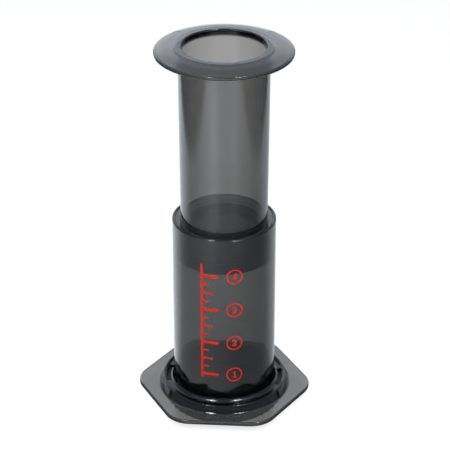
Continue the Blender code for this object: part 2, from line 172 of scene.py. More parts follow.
# Filter cap, heights from the face that it stands on
CAP_FOOT_LIFT = 0.0010
CAP_FOOT_WIDTH = 0.0048
CAP_FOOT_ROUNDING = 0.0004
CAP_FLOOR_THICKNESS = 0.0023
CAP_INNER_CLEARANCE = 0.0003
CAP_RIM_WALL = 0.0019
CAP_RIM_ROUNDING = 0.0004
CAP_GRIP_WALL = 0.0032
CAP_GRIP_ROUNDING = 0.0007
CAP_TOP_CLEARANCE = 0.0003
CAP_RIB_COUNT = 40
CAP_RIB_HEIGHT = 0.0008
CAP_RIB_FILL_SHARE = 0.5
CAP_RIB_STEPS = 8
CAP_RIB_BASE = 0.0012
CAP_RIB_TOP_MARGIN = 0.0010
CAP_HOLE_RADIUS = 0.0009
CAP_HOLE_PITCH = 0.0055
CAP_HOLE_RINGS = 5
CAP_HOLE_RING_STEP = 6

# Paper filter
PAPER_RINGS = 24
PAPER_COCKLE = 0.00004
PAPER_COCKLE_WAVES = 7

# Printed marks, heights from the underside of the flange
INK_LIFT = 0.00001
INK_THICKNESS = 0.00003
INK_GRID = 0.0005
MARK_TURN = 15.4
MARK_HEIGHTS = (0.0263, 0.0493, 0.0727, 0.0959)
MARK_RING_RADIUS = 0.0051
MARK_RING_STROKE = 0.00085
MARK_RING_STEPS = 64
DIGIT_HEIGHT = 0.0046
FONT_STROKE = 0.00022
ONE_SHARES = ((-0.24, 0.12), (-0.24, 0.32), (-0.02, 0.5), (0.16, 0.5), (0.16, -0.32), (0.32, -0.32),
              (0.32, -0.5), (-0.22, -0.5), (-0.22, -0.32), (-0.06, -0.32), (-0.06, 0.22))
ONE_FACES = ((0, 1, 2, 3, 4, 5, 6, 7, 8, 9, 10),)
FOUR_SHARES = ((-0.36, -0.3), (0.04, -0.3), (0.04, -0.12), (-0.14, -0.12), (-0.36, -0.12), (0.04, 0.18),
               (0.04, 0.5), (0.25, 0.5), (0.25, -0.12), (0.38, -0.12), (0.38, -0.3), (0.25, -0.3),
               (0.25, -0.5), (0.04, -0.5))
FOUR_FACES = ((0, 1, 2, 3, 4), (4, 3, 5, 6), (13, 12, 11, 8, 7, 6, 5, 2, 1), (11, 10, 9, 8))
SCALE_TURN = -12.5
SCALE_BASE = 0.0235
SCALE_TOP = 0.1037
SCALE_WIDTH = 0.0112
SCALE_SPINE = 0.0015
SCALE_STROKES = (0.0019, 0.0011, 0.0014, 0.0011)
SCALE_LENGTH_SHARES = (1.0, 0.45, 0.68, 0.45)

# Finishes: a noise is (scale, detail, stretch) and a relief is (height, strength)
NOISE_RANGE = (0.3, 0.7)
RANGE_SOCKETS = ("From Min", "From Max", "To Min", "To Max")
RUBBER_IOR = 1.5
RUBBER_WEAR = (120, 6)
RUBBER_GRAIN = (3000, 3)
RUBBER_COLOURS = ((0.008, 0.008, 0.009), (0.02, 0.02, 0.021))
RUBBER_ROUGHNESS = (0.38, 0.6)
RUBBER_RELIEF = (0.00003, 0.4)
CAP_SPECULAR = 0.25
CAP_PATCHES = (70, 4)
CAP_GRAIN = (2200, 4)
CAP_COLOURS = ((0.007, 0.007, 0.007), (0.014, 0.014, 0.014))
CAP_ROUGHNESS = (0.40, 0.55)
CAP_RELIEF = (0.00004, 0.3)
PAPER_CLOUDS = (160, 4)
PAPER_FIBRES = (900, 8, (1, 0.35, 1))
PAPER_COLOURS = ((0.76, 0.74, 0.69), (0.86, 0.85, 0.81))
PAPER_ROUGHNESS = 0.95
PAPER_RELIEF = (0.00006, 0.6)
INK_SPECULAR = 0.25
INK_COVER = (700, 5)
INK_COLOURS = ((0.50, 0.012, 0.004), (0.62, 0.022, 0.008))
INK_ROUGHNESS = (0.35, 0.5)
INK_RELIEF = (0.00001, 0.3)

# Smoky plastic
PLASTIC_IOR = 1.5
PLASTIC_FLOW = (45, 2, (1, 1, 0.25))
PLASTIC_CLEARNESS = (0.97, 1.0)
PLASTIC_RELIEF = (0.0004, 0.02)
PLASTIC_POLISH = (260, 5)
PLASTIC_ROUGHNESS = (0.0, 0.03)
SMOKE_COLOUR = (0.80, 0.80, 0.797)
SATIN_COLOUR = (0.835, 0.84, 0.845)
SATIN_BLEND = 0.0005
FROST_BLEND = 0.0003
FROST_ROUGHNESS = 0.30
CHAMBER_DENSITY = 2500
CHAMBER_CORE_LEVEL = 0.68
CHAMBER_SATIN_SHARE = 0.05
PLUNGER_DENSITY = 2150
PLUNGER_CORE_LEVEL = 1.0
PLUNGER_SATIN_SHARE = 0.035
BRIM_MIDDLE_DROP = 0.00165
BRIM_MIDDLE_FALL = 0.163

# Camera, solved from the photo's outlines
CAMERA_DISTANCE = 1.00148
CAMERA_HEIGHT = 0.6519
CAMERA_TURN = 3.9
CAMERA_PITCH = 27.79
CAMERA_ASIDE = 0.00053
CAMERA_LENS = 147.15

# Studio
FLOOR_SIZE = 12.0
SOFTBOX_TURNS = (-22.0, 20.0)
SOFTBOX_ELEVATION = 42.0
SOFTBOX_DISTANCE = 1.3
SOFTBOX_WIDTH = 0.34
SOFTBOX_HEIGHT = 0.55
SOFTBOX_POWER = 11.0
SOFTBOX_TINT = (0.96, 0.98, 1.0)
FILL_LEVEL = 0.16
TABLE_COLOUR = (0.5, 0.5, 0.5)
TABLE_GLOW = 0.78
MOST_BOUNCES = 24
GLOSSY_BOUNCES = 12

# Table as reflected, by a share from 0 behind the press to 1 in front, near and far, and how far
# # out the painted shade round the press reaches
TABLE_NEAR = 0.15
TABLE_FAR = 0.45
TABLE_NEAR_LIGHT = ((0.0, 0.60), (0.3, 0.55), (0.40, 0.40), (0.5, 0.33), (0.7, 0.36), (0.87, 0.45),
                    (1.0, 0.48))
TABLE_FAR_LIGHT = ((0.0, 0.60), (0.25, 0.60), (0.37, 0.46), (0.5, 0.36), (0.62, 0.38), (0.72, 0.50),
                   (0.87, 0.78), (0.955, 1.20), (0.975, 1.05), (0.99, 0.86), (1.0, 0.84))
TABLE_LEVEL = 2.0
TABLE_LEAN = (1.15, 0.68)
TABLE_LEAN_SPAN = (-0.7, 0.7)
TABLE_TINT = (0.94, 0.98, 1.05)
TABLE_HALF_WIDTH = 0.385
TABLE_EDGE_SOFTNESS = 0.03
TABLE_ROOM_SHARE = 0.12
PRESS_SHADE_LIMIT = ((0.0, 0.058), (0.085, 0.060), (0.3, 0.0675), (0.44, 0.0695), (0.57, 0.0705),
               (0.665, 0.068), (0.72, 0.0645), (0.825, 0.0695), (0.91, 0.0735), (0.936, 0.0735),
               (0.942, 0.0645), (1.0, 0.0665))
PRESS_SHADE_SOFTNESS = 0.0006

# Surroundings as reflected: sky behind the press by height, room, two patches in front and the sides
SKY_BEHIND = ((0.0, 0.60), (0.12, 0.85), (0.24, 1.00), (0.30, 0.80), (0.37, 0.66), (0.46, 0.55),
              (0.62, 0.42), (1.0, 0.34))
SKY_TURNS = (118.0, 150.0)
SKY_BACK_SPAN = (0, 0.3)
SKY_LEVEL = 1.55
SKY_LEAN = (1.20, 0.72)
SKY_LEAN_SPAN = (-0.6, 0.6)
SKY_TINT = (0.90, 0.98, 1.10)
ROOM_LEVEL = 0.42
PATCH_TURNS = (19.0, 23.0, 36.0, 46.0)
PATCH_HEIGHTS = (36.0, 39.0, 56.0, 62.0)
PATCH_LEVEL = 24.0
SIDE_TURNS = (19.0, 30.0)
SIDE_HEIGHTS = (38.0, 46.0)
SIDE_BACK_SPAN = (-0.3, 0.2)
SIDE_LEVEL = 1.2

# Sizes that follow from the ones above
FLANGE_BASE = CHAMBER_LOW.z + SPIGOT_DROP
CHAMBER_RADIUS = BORE_RADIUS + CHAMBER_WALL
CAVITY_ROOF = FLANGE_BASE + MOAT_HEIGHT - MOAT_ROOF
CAVITY_RADIUS = COLLAR_RADIUS - COLLAR_WALL
LEDGE_TOP = FLANGE_BASE + LOCK_LEDGE_THICKNESS
CAP_INNER_RADIUS = CHAMBER_RADIUS + CAP_INNER_CLEARANCE
CAP_RIM_RADIUS = CAP_INNER_RADIUS + CAP_RIM_WALL
CAP_GRIP_RADIUS = CAP_INNER_RADIUS + CAP_GRIP_WALL
LEDGE_RADIUS = CAP_RIM_RADIUS + LOCK_RUNNING_CLEARANCE
LOCK_PITCH = 360.0 / LOCK_COUNT
WINDOW_HALF_ANGLE = LOCK_WINDOW_ANGLE / 2
STOP_START_ANGLE = WINDOW_HALF_ANGLE + LOCK_STOP_MARGIN
STOP_END_ANGLE = STOP_START_ANGLE + LOCK_STOP_ANGLE
LEDGE_END_ANGLE = STOP_END_ANGLE + LOCK_LEDGE_MARGIN
LUG_END_ANGLE = STOP_START_ANGLE - LUG_STOP_MARGIN
PRINT_RADIUS = CHAMBER_RADIUS + INK_LIFT


# Outlines

def rounded_outline(corners):
    """The corners (across, up, rounding) as a path, each corner turned by an arc of its rounding."""
    points = []
    count = len(corners)
    for index, (across, up, rounding) in enumerate(corners):
        corner = Vector((across, up))
        if not rounding:
            points.append(corner)
            continue
        before = Vector(corners[index - 1][:2]) - corner
        after = Vector(corners[(index + 1) % count][:2]) - corner
        before.normalize()
        after.normalize()
        half_angle = before.angle(after) / 2
        centre = corner + (before + after).normalized() * (rounding / math.sin(half_angle))
        start = corner + before * (rounding / math.tan(half_angle)) - centre
        turn = start.angle_signed(corner + after * (rounding / math.tan(half_angle)) - centre)
        steps = max(3, math.ceil(abs(turn) / (2 * math.acos(1 - ARC_SAG / rounding))))
        for step in range(steps + 1):
            points.append(centre + Matrix.Rotation(-turn * step / steps, 2) @ start)
    return points


def sharp(across, up):
    """A corner that stays sharp."""
    return (across, up, 0)


# Meshes

def mesh_of(name, bm):
    """The bmesh as a mesh whose faces point outwards."""
    bmesh.ops.remove_doubles(bm, verts=bm.verts, dist=WELD_DISTANCE)
    bmesh.ops.recalc_face_normals(bm, faces=bm.faces)
    mesh = bpy.data.meshes.new(name)
    bm.to_mesh(mesh)
    bm.free()
    return mesh


def revolved(name, outline, closed):
    """The outline (across, up) turned about Z. An open outline starts and ends on the axis."""
    bm = bmesh.new()
    verts = [bm.verts.new((point.x, 0, point.y)) for point in outline]
    edges = [bm.edges.new(pair) for pair in zip(verts, verts[1:])]
    if closed:
        edges.append(bm.edges.new((verts[-1], verts[0])))
    bmesh.ops.spin(bm, geom=verts + edges, cent=(0, 0, 0), axis=(0, 0, 1),
                   angle=math.tau, steps=ROUND_STEPS, use_merge=True)
    return mesh_of(name, bm)


def add_prism(bm, outline, base, top):
    """Adds the outline (x, y) to the bmesh as an upright solid from base to top."""
    face = bm.faces.new([bm.verts.new((point.x, point.y, base)) for point in outline])
    grown = bmesh.ops.extrude_face_region(bm, geom=[face], use_keep_orig=True)
    raised = [item for item in grown["geom"] if isinstance(item, bmesh.types.BMVert)]
    bmesh.ops.translate(bm, verts=raised, vec=(0, 0, top - base))


def on_circle(radius, angle):
    """The point at this radius and this angle in radians."""
    return Vector((radius * math.cos(angle), radius * math.sin(angle)))


def sector_outline(inner, outer, start, end):
    """A slice of a ring between two radii and two angles."""
    steps = max(1, math.ceil((end - start) / SECTOR_TURN))
    angles = [math.radians(start + (end - start) * step / steps) for step in range(steps + 1)]
    far = [on_circle(outer, angle) for angle in angles]
    near = [on_circle(inner, angle) for angle in angles]
    return far + near[::-1]


def sectors(name, inner, outer, base, top, start, end):
    """One solid slice of a ring for each lock of the chamber."""
    bm = bmesh.new()
    for index in range(LOCK_COUNT):
        turn = index * LOCK_PITCH
        add_prism(bm, sector_outline(inner, outer, start + turn, end + turn), base, top)
    return mesh_of(name, bm)


# Objects

def shown(name, mesh, finish):
    """The mesh as an object of the scene, smooth but for its true edges."""
    obj = bpy.data.objects.new(name, mesh)
    bpy.context.scene.collection.objects.link(obj)
    mesh.materials.clear()
    mesh.materials.append(finish)
    mesh.shade_smooth()
    mesh.set_sharp_from_angle(angle=math.radians(SMOOTH_BELOW))
    normals = obj.modifiers.new("true_normals", "WEIGHTED_NORMAL")
    normals.keep_sharp = True
    return obj


def carved(name, mesh, cuts, softness):
    """The mesh after its Booleans, with its sharp edges a little rounded."""
    target = bpy.data.objects.new(name, mesh)
    bpy.context.scene.collection.objects.link(target)
    helpers = []
    for operation, cutter in cuts:
        helper = bpy.data.objects.new(cutter.name, cutter)
        bpy.context.scene.collection.objects.link(helper)
        helpers.append(helper)
        modifier = target.modifiers.new(cutter.name, "BOOLEAN")
        modifier.operation = operation
        modifier.solver = "EXACT"
        modifier.object = helper
    if softness:
        bevel = target.modifiers.new("soft_edges", "BEVEL")
        bevel.width = softness
        bevel.segments = EDGE_STEPS
        bevel.limit_method = "ANGLE"
        bevel.angle_limit = math.radians(EDGE_ANGLE)
        bevel.miter_outer = "MITER_ARC"
    bpy.context.view_layer.update()
    graph = bpy.context.evaluated_depsgraph_get()
    made = bpy.data.meshes.new_from_object(target.evaluated_get(graph))
    made.name = name
    for obj in helpers + [target]:
        bpy.data.objects.remove(obj)
    return made


# Chamber

def chamber_shell_mesh():
    """Tube, collar and moat in one closed outline."""
    rim = CHAMBER_HIGH.z
    end = CHAMBER_LOW.z
    moat = FLANGE_BASE + MOAT_HEIGHT
    lip_top = FLANGE_BASE + COLLAR_HEIGHT
    foot_height = FLANGE_BASE + FLANGE_THICKNESS + COLLAR_FOOT_STEP
    foot_radius = COLLAR_RADIUS + COLLAR_FOOT_WIDTH + COLLAR_FOOT_STEP
    join_height = FLANGE_BASE + FLANGE_THICKNESS / 2
    lip_radius = COLLAR_RADIUS - COLLAR_LIP_WIDTH
    spigot_radius = CHAMBER_RADIUS - SPIGOT_RELIEF
    corners = [
        (BORE_RADIUS, end, SPIGOT_ROUNDING),
        (BORE_RADIUS, rim, CHAMBER_RIM_ROUNDING),
        (CHAMBER_RADIUS, rim, CHAMBER_RIM_ROUNDING),
        (CHAMBER_RADIUS, moat, MOAT_TUBE_FILLET),
        (lip_radius, moat, MOAT_LIP_FILLET),
        (lip_radius, lip_top, COLLAR_LIP_ROUNDING),
        (COLLAR_RADIUS, lip_top, COLLAR_LIP_ROUNDING),
        (COLLAR_RADIUS + COLLAR_SPREAD, foot_height, COLLAR_FOOT_ROUNDING),
        sharp(foot_radius, foot_height),
        sharp(foot_radius, join_height),
        sharp(spigot_radius, join_height),
        (spigot_radius, end, SPIGOT_ROUNDING),
    ]
    return revolved("chamber_shell", rounded_outline(corners), True)


def flange_mesh():
    """The six-sided plate with rounded corners and edges."""
    half_flats = CHAMBER_HIGH.y
    corner_share = 1 / math.cos(math.pi / FLANGE_SIDES)
    corner_distance = half_flats * corner_share
    corner_radius = (corner_distance - CHAMBER_HIGH.x) / (corner_share - 1)
    corners = [(*on_circle(corner_distance, math.tau * side / FLANGE_SIDES), corner_radius)
               for side in range(FLANGE_SIDES)]
    bm = bmesh.new()
    add_prism(bm, rounded_outline(corners), FLANGE_BASE, FLANGE_BASE + FLANGE_THICKNESS)
    rims = [edge for edge in bm.edges if edge.verts[0].co.z == edge.verts[1].co.z]
    bmesh.ops.bevel(bm, geom=rims, offset=FLANGE_EDGE_ROUNDING, offset_type="OFFSET",
                    segments=FLANGE_EDGE_STEPS, profile=0.5, affect="EDGES")
    return mesh_of("flange_plate", bm)


def tube_passage_mesh():
    """Clears the plate inside the chamber's wall."""
    radius = BORE_RADIUS + CHAMBER_WALL / 2
    low = FLANGE_BASE - CUT_OVERRUN
    high = FLANGE_BASE + FLANGE_THICKNESS + CUT_OVERRUN
    corners = [sharp(0, low), sharp(radius, low), sharp(radius, high), sharp(0, high)]
    return revolved("tube_passage", rounded_outline(corners), False)


def lock_cavity_mesh():
    """The ring-shaped space that takes the cap's rim and, above the ledges, its lugs."""
    relief_radius = CAP_GRIP_RADIUS + CAP_RIB_HEIGHT + FLANGE_RELIEF_MARGIN
    low = FLANGE_BASE - CUT_OVERRUN
    relief = FLANGE_BASE + FLANGE_RELIEF_DEPTH
    corners = [
        sharp(CHAMBER_RADIUS, low),
        sharp(relief_radius, low),
        sharp(relief_radius, relief),
        sharp(LEDGE_RADIUS, relief),
        sharp(LEDGE_RADIUS, LEDGE_TOP),
        sharp(CAVITY_RADIUS, LEDGE_TOP),
        sharp(CAVITY_RADIUS, CAVITY_ROOF),
        sharp(CHAMBER_RADIUS, CAVITY_ROOF),
    ]
    return revolved("lock_cavity", rounded_outline(corners), True)


def lock_slots_mesh():
    """The openings between the ledges, where the cap's lugs enter from below."""
    return sectors("lock_slots", LEDGE_RADIUS - JOIN_OVERLAP, CAVITY_RADIUS - LOCK_SLOT_STEP,
                   FLANGE_BASE - CUT_OVERRUN, (LEDGE_TOP + CAVITY_ROOF) / 2,
                   LEDGE_END_ANGLE, LOCK_PITCH - WINDOW_HALF_ANGLE - LOCK_LEDGE_MARGIN)


def lock_windows_mesh():
    """The windows in the moat's floor above the ledges."""
    return sectors("lock_windows", CHAMBER_RADIUS + LOCK_WINDOW_INNER_MARGIN,
                   CAVITY_RADIUS - LOCK_WINDOW_OUTER_MARGIN, CAVITY_ROOF - JOIN_OVERLAP,
                   FLANGE_BASE + COLLAR_HEIGHT + CUT_OVERRUN,
                   LOCK_WINDOW_TRIM - WINDOW_HALF_ANGLE, WINDOW_HALF_ANGLE - LOCK_WINDOW_TRIM)


def lock_stops_mesh():
    """The blocks at the ledges' ends that the lugs turn against."""
    return sectors("lock_stops", LEDGE_RADIUS + JOIN_OVERLAP, COLLAR_RADIUS - COLLAR_WALL / 2,
                   FLANGE_BASE + LOCK_LEDGE_THICKNESS / 2, CAVITY_ROOF + MOAT_ROOF / 2,
                   STOP_START_ANGLE, STOP_END_ANGLE)


def make_chamber(finish):
    """The chamber, from its plate, shell and lock."""
    cuts = [
        ("DIFFERENCE", tube_passage_mesh()),
        ("UNION", chamber_shell_mesh()),
        ("DIFFERENCE", lock_cavity_mesh()),
        ("DIFFERENCE", lock_slots_mesh()),
        ("UNION", lock_stops_mesh()),
        ("DIFFERENCE", lock_windows_mesh()),
    ]
    mesh = carved("chamber_body", flange_mesh(), cuts, EDGE_SOFTNESS)
    chamber = shown("chamber_body", mesh, finish)
    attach(chamber, "chamber")
    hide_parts("chamber")


# Plunger

def plunger_mesh():
    """Floor, tube, dished brim and neck in one outline, with a gate mark on the floor."""
    end = PLUNGER_LOW.z
    mouth = PLUNGER_HIGH.z
    brim_radius = PLUNGER_HIGH.x
    neck_inner = NECK_RADIUS - NECK_WALL
    tube_inner_end = TUBE_END_RADIUS - TUBE_WALL
    mouth_radius = TUBE_TOP_RADIUS - TUBE_WALL
    bead_radius = NECK_RADIUS + NECK_BEAD_RISE
    bead_base = end + NECK_BEAD_BASE
    bead_top = bead_base + NECK_BEAD_LENGTH
    brim_top = mouth - BRIM_DISH
    floor_top = end + PLUNGER_FLOOR_HEIGHT
    floor_under = floor_top - PLUNGER_FLOOR_THICKNESS
    neck_top = end + NECK_LENGTH
    corners = [
        sharp(0, floor_top + GATE_HEIGHT),
        sharp(GATE_RADIUS, floor_top + GATE_HEIGHT),
        sharp(GATE_RADIUS, floor_top),
        (neck_inner, floor_top, PLUNGER_FLOOR_FILLET),
        sharp(neck_inner, neck_top),
        sharp(tube_inner_end, neck_top + NECK_BLEND),
        (mouth_radius, mouth, MOUTH_ROUNDING),
        (mouth_radius + BRIM_FLAT_WIDTH, mouth, BRIM_CROWN_ROUNDING),
        (BRIM_BEND_RADIUS, mouth - BRIM_BEND_DROP, BRIM_BEND_ROUNDING),
        (brim_radius, brim_top, BRIM_EDGE_ROUNDING),
        (brim_radius, brim_top - BRIM_THICKNESS, BRIM_EDGE_ROUNDING),
        (BRIM_BELLY_RADIUS, brim_top - BRIM_THICKNESS - BRIM_BELLY_DEPTH / 2, BRIM_BELLY_ROUNDING),
        (TUBE_TOP_RADIUS, mouth - BRIM_THICKNESS - BRIM_ROOT_DEPTH, BRIM_UNDER_FILLET),
        (TUBE_END_RADIUS, neck_top, NECK_ROUNDING),
        sharp(NECK_RADIUS, neck_top),
        sharp(NECK_RADIUS, bead_top),
        (bead_radius, bead_top - NECK_BEAD_RISE, NECK_ROUNDING),
        (bead_radius, bead_base, NECK_ROUNDING),
        sharp(NECK_RADIUS, end),
        sharp(neck_inner, end),
        (neck_inner, floor_under, PLUNGER_FLOOR_FILLET),
        sharp(0, floor_under),
    ]
    return revolved("plunger_body", rounded_outline(corners), False)


def make_plunger(finish):
    """The hollow plunger."""
    plunger = shown("plunger_body", plunger_mesh(), finish)
    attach(plunger, "plunger")
    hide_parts("plunger")


# Plunger seal

def seal_mesh():
    """Crown, two sealing lips and sleeve, hollowed to grip the neck and its bead."""
    base = SEAL_LOW.z
    top = SEAL_HIGH.z
    lip_radius = SEAL_HIGH.x
    ring_radius = lip_radius - SEAL_RING_DEPTH
    waist_radius = lip_radius - SEAL_WAIST_DEPTH
    sleeve_radius = TUBE_END_RADIUS + SEAL_SLEEVE_PROUD
    grip_radius = NECK_RADIUS + SEAL_GRIP_CLEARANCE
    groove_radius = grip_radius + NECK_BEAD_RISE
    groove_top = PLUNGER_LOW.z + NECK_BEAD_BASE + NECK_BEAD_LENGTH + SEAL_GRIP_CLEARANCE
    corners = [
        sharp(0, base),
        sharp(SEAL_CROWN_RADIUS, base),
        sharp(lip_radius - SEAL_SHOULDER_WIDTH, base + SEAL_CROWN_RISE),
        (lip_radius, base + SEAL_LIP_BASE, SEAL_LIP_ROUNDING),
        (lip_radius, base + SEAL_LIP_TOP, SEAL_LIP_ROUNDING),
        (waist_radius, base + SEAL_WAIST_BASE, SEAL_WAIST_ROUNDING),
        (waist_radius, base + SEAL_WAIST_TOP, SEAL_WAIST_ROUNDING),
        (ring_radius, base + SEAL_RING_BASE, SEAL_RING_ROUNDING),
        (ring_radius, base + SEAL_RING_TOP, SEAL_RING_ROUNDING),
        (sleeve_radius, base + SEAL_SLEEVE_BASE, SEAL_WAIST_ROUNDING),
        (sleeve_radius, top, SEAL_SLEEVE_ROUNDING),
        sharp(grip_radius, top),
        sharp(grip_radius, groove_top),
        sharp(groove_radius, groove_top - NECK_BEAD_RISE),
        sharp(groove_radius, base + SEAL_FLOOR_THICKNESS),
        sharp(0, base + SEAL_FLOOR_THICKNESS),
    ]
    return revolved("seal_body", rounded_outline(corners), False)


def make_seal(finish):
    """The rubber seal."""
    seal = shown("seal_body", seal_mesh(), finish)
    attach(seal, "seal")
    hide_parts("plunger_seal")


# Filter cap

def cap_shell_mesh():
    """Floor, foot ring, grip wall and rim in one outline."""
    grip_top = FLANGE_BASE - CAP_TOP_CLEARANCE
    floor_top = CAP_FOOT_LIFT + CAP_FLOOR_THICKNESS
    foot_inner = CAP_GRIP_RADIUS - CAP_FOOT_WIDTH
    corners = [
        sharp(0, CAP_FOOT_LIFT),
        (foot_inner - CAP_FOOT_LIFT, CAP_FOOT_LIFT, CAP_FOOT_ROUNDING),
        (foot_inner, CAP_LOW.z, CAP_FOOT_ROUNDING),
        (CAP_GRIP_RADIUS, CAP_LOW.z, CAP_GRIP_ROUNDING),
        (CAP_GRIP_RADIUS, grip_top, CAP_GRIP_ROUNDING),
        sharp(CAP_RIM_RADIUS, grip_top),
        (CAP_RIM_RADIUS, CAP_HIGH.z, CAP_RIM_ROUNDING),
        (CAP_INNER_RADIUS, CAP_HIGH.z, CAP_RIM_ROUNDING),
        sharp(CAP_INNER_RADIUS, floor_top),
        sharp(0, floor_top),
    ]
    return revolved("cap_shell", rounded_outline(corners), False)


def cap_lugs_mesh():
    """The four lugs that turn in over the chamber's ledges."""
    base = LEDGE_TOP + LUG_LIFT
    return sectors("cap_lugs", CAP_RIM_RADIUS - JOIN_OVERLAP, CAVITY_RADIUS - LOCK_RUNNING_CLEARANCE,
                   base, base + LUG_THICKNESS, LUG_END_ANGLE - LUG_ANGLE, LUG_END_ANGLE)


def cap_ribs_mesh():
    """Upright grip ribs with rounded fronts."""
    root = CAP_GRIP_RADIUS - JOIN_OVERLAP
    tip = CAP_HIGH.x
    half_root = math.pi / CAP_RIB_COUNT * CAP_RIB_FILL_SHARE
    top = FLANGE_BASE - CAP_TOP_CLEARANCE - CAP_RIB_TOP_MARGIN
    bm = bmesh.new()
    for index in range(CAP_RIB_COUNT):
        middle = math.tau * index / CAP_RIB_COUNT
        outline = []
        for step in range(CAP_RIB_STEPS + 1):
            share = step / CAP_RIB_STEPS
            radius = root + (tip - root) * math.sqrt(math.sin(math.pi * share))
            outline.append(on_circle(radius, middle + half_root * (2 * share - 1)))
        add_prism(bm, outline, CAP_RIB_BASE, top)
    return mesh_of("cap_ribs", bm)


def cap_holes_mesh():
    """Holes on rings about a centre hole."""
    spots = [Vector((0, 0))]
    for ring in range(1, CAP_HOLE_RINGS + 1):
        count = CAP_HOLE_RING_STEP * ring
        spots += [on_circle(ring * CAP_HOLE_PITCH, math.tau * index / count) for index in range(count)]
    bm = bmesh.new()
    for spot in spots:
        outline = [spot + on_circle(CAP_HOLE_RADIUS, math.tau * corner / HOLE_STEPS)
                   for corner in range(HOLE_STEPS)]
        add_prism(bm, outline, -CUT_OVERRUN, CAP_FOOT_LIFT + CAP_FLOOR_THICKNESS + CUT_OVERRUN)
    return mesh_of("cap_holes", bm)


def make_cap(finish):
    """The filter cap with its lugs, ribs and holes."""
    cuts = [
        ("UNION", cap_lugs_mesh()),
        ("UNION", cap_ribs_mesh()),
        ("DIFFERENCE", cap_holes_mesh()),
    ]
    cap = shown("cap_body", carved("cap_body", cap_shell_mesh(), cuts, 0), finish)
    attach(cap, "filter_cap")
    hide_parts("filter_cap")


# Paper filter

def paper_mesh():
    """A thin disc that cockles a little towards its edge."""
    radius = PAPER_HIGH.x
    low = PAPER_LOW.z
    high = PAPER_HIGH.z
    rings = [radius * (ring + 1) / PAPER_RINGS for ring in range(PAPER_RINGS)]
    outline = [sharp(0, low + PAPER_COCKLE)]
    outline += [sharp(ring, low + PAPER_COCKLE) for ring in rings]
    outline += [sharp(ring, high - PAPER_COCKLE) for ring in reversed(rings)]
    outline += [sharp(0, high - PAPER_COCKLE)]
    mesh = revolved("paper_disc", rounded_outline(outline), False)
    for vert in mesh.vertices:
        spot = Vector(vert.co[:2])
        turn = math.atan2(spot.y, spot.x)
        rise = math.sin(PAPER_COCKLE_WAVES * turn + spot.length / radius * math.pi)
        vert.co.z += PAPER_COCKLE * rise * (spot.length / radius) ** 2
    return mesh


def make_paper(finish):
    """The paper filter."""
    paper = shown("paper_disc", paper_mesh(), finish)
    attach(paper, "filter_cap")
    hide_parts("paper_filter")


# Printed marks

def add_printed(bm, flat, turn, height):
    """Wraps the flat faces (x across, y up) round the chamber and adds them as a layer of ink."""
    lines = sorted({round(vert.co.x / INK_GRID) for vert in flat.verts})
    for line in range(lines[0], lines[-1] + 1):
        bmesh.ops.bisect_plane(flat, geom=flat.verts[:] + flat.edges[:] + flat.faces[:],
                               plane_co=(line * INK_GRID, 0, 0), plane_no=(1, 0, 0))
    bmesh.ops.triangulate(flat, faces=flat.faces)
    grown = bmesh.ops.extrude_face_region(flat, geom=flat.faces[:], use_keep_orig=True)
    outer = {item for item in grown["geom"] if isinstance(item, bmesh.types.BMVert)}
    middle = math.radians(turn - 90)
    for vert in flat.verts:
        radius = PRINT_RADIUS + (INK_THICKNESS if vert in outer else 0)
        place = on_circle(radius, middle + vert.co.x / PRINT_RADIUS)
        vert.co = (place.x, place.y, FLANGE_BASE + height + vert.co.y)
    piece = bpy.data.meshes.new("ink")
    flat.to_mesh(piece)
    flat.free()
    bm.from_mesh(piece)
    bpy.data.meshes.remove(piece)


def ring_face():
    """A flat ring."""
    bm = bmesh.new()
    angles = [math.tau * step / MARK_RING_STEPS for step in range(MARK_RING_STEPS)]
    outer = [bm.verts.new((*on_circle(MARK_RING_RADIUS, angle), 0)) for angle in angles]
    inner = [bm.verts.new((*on_circle(MARK_RING_RADIUS - MARK_RING_STROKE, angle), 0))
             for angle in angles]
    for here in range(MARK_RING_STEPS):
        after = (here + 1) % MARK_RING_STEPS
        bm.faces.new((outer[here], outer[after], inner[after], inner[here]))
    return bm


def font_face(digit):
    """A flat figure from the plain font, thickened a little and scaled to the printed height."""
    text = bpy.data.curves.new("figure", "FONT")
    text.body = digit
    text.offset = FONT_STROKE
    text.size = DIGIT_HEIGHT
    holder = bpy.data.objects.new("figure", text)
    bpy.context.scene.collection.objects.link(holder)
    bpy.context.view_layer.update()
    graph = bpy.context.evaluated_depsgraph_get()
    mesh = bpy.data.meshes.new_from_object(holder.evaluated_get(graph))
    bm = bmesh.new()
    bm.from_mesh(mesh)
    bpy.data.objects.remove(holder)
    bpy.data.meshes.remove(mesh)
    bmesh.ops.remove_doubles(bm, verts=bm.verts, dist=WELD_DISTANCE)
    low = Vector([min(vert.co[axis] for vert in bm.verts) for axis in range(2)])
    high = Vector([max(vert.co[axis] for vert in bm.verts) for axis in range(2)])
    middle = (low + high) / 2
    scale = DIGIT_HEIGHT / (high.y - low.y)
    for vert in bm.verts:
        vert.co = ((vert.co.x - middle.x) * scale, (vert.co.y - middle.y) * scale, 0)
    return bm


def drawn_face(spots, faces):
    """A flat figure of straight strokes, from spots given as shares of the printed height."""
    bm = bmesh.new()
    verts = [bm.verts.new((across * DIGIT_HEIGHT, up * DIGIT_HEIGHT, 0)) for across, up in spots]
    for face in faces:
        bm.faces.new([verts[index] for index in face])
    return bm


def digit_faces():
    """The four figures, lowest first."""
    return (drawn_face(ONE_SHARES, ONE_FACES), font_face("2"), font_face("3"),
            drawn_face(FOUR_SHARES, FOUR_FACES))


def bar_face(left, right, low, high):
    """A flat bar."""
    bm = bmesh.new()
    spots = ((left, low), (right, low), (right, high), (left, high))
    bm.faces.new([bm.verts.new((across, up, 0)) for across, up in spots])
    return bm


